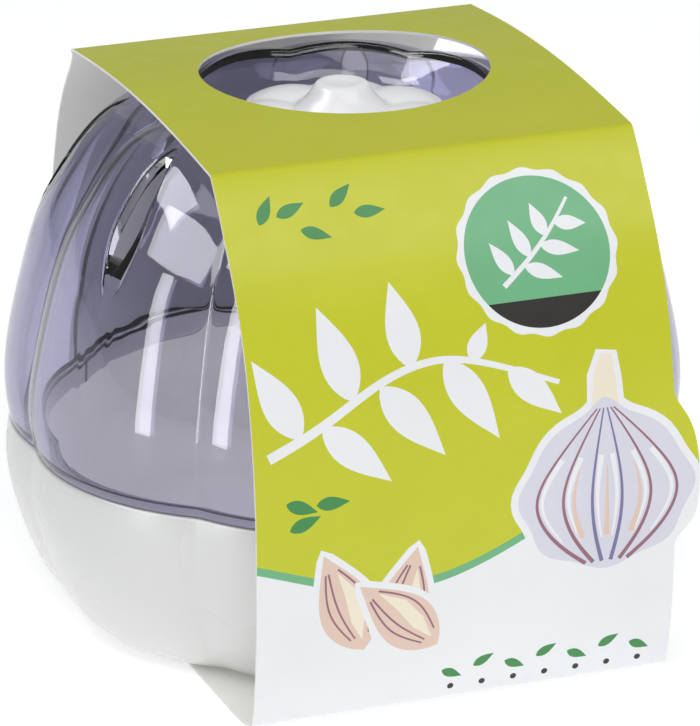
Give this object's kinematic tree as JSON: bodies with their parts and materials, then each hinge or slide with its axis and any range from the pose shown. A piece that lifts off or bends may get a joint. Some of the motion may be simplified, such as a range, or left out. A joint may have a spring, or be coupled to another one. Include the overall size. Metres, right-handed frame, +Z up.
{
  "type": "garlic keeper",
  "caption": "Lobed bulb-shaped food keeper: shallow bowl, clear domed lid with a cratered top and eight leaf-shaped air slots, drop-in stem cap, and a printed card sleeve wrapped round it.",
  "frame": {"origin": "on the floor under the middle of the bulb, at the underside of the card sleeve", "axes": "+Z up, -Y front (the side with the large printed panel), +X along the open tunnel of the sleeve, to the right seen from the front"},
  "size_m": [0.1092, 0.1118, 0.0898],
  "materials": {
    "white_plastic": "gloss white moulded plastic",
    "clear_plastic": "clear plastic with a faint lavender grey tint",
    "printed_card": "gloss coated printed card, lime green with white and green"
  },
  "bodies": {
    "base": {"base": "white_plastic"},
    "lid": {"lid": "clear_plastic"},
    "cap": {"stem_cap": "white_plastic"},
    "sleeve": {"sleeve": "printed_card"}
  },
  "joints": [
    {"name": "lid_lift", "type": "slide", "parent": "base", "child": "lid", "axis": [0, 0, 1], "range_m": [0, 0.08], "deforming": ["sleeve"]},
    {"name": "cap_lift", "type": "slide", "parent": "lid", "child": "cap", "axis": [0, 0, 1], "range_m": [0, 0.03]},
    {"name": "sleeve_slide", "type": "slide", "parent": "base", "child": "sleeve", "axis": [1, 0, 0], "range_m": [0, 0.13]}
  ]
}
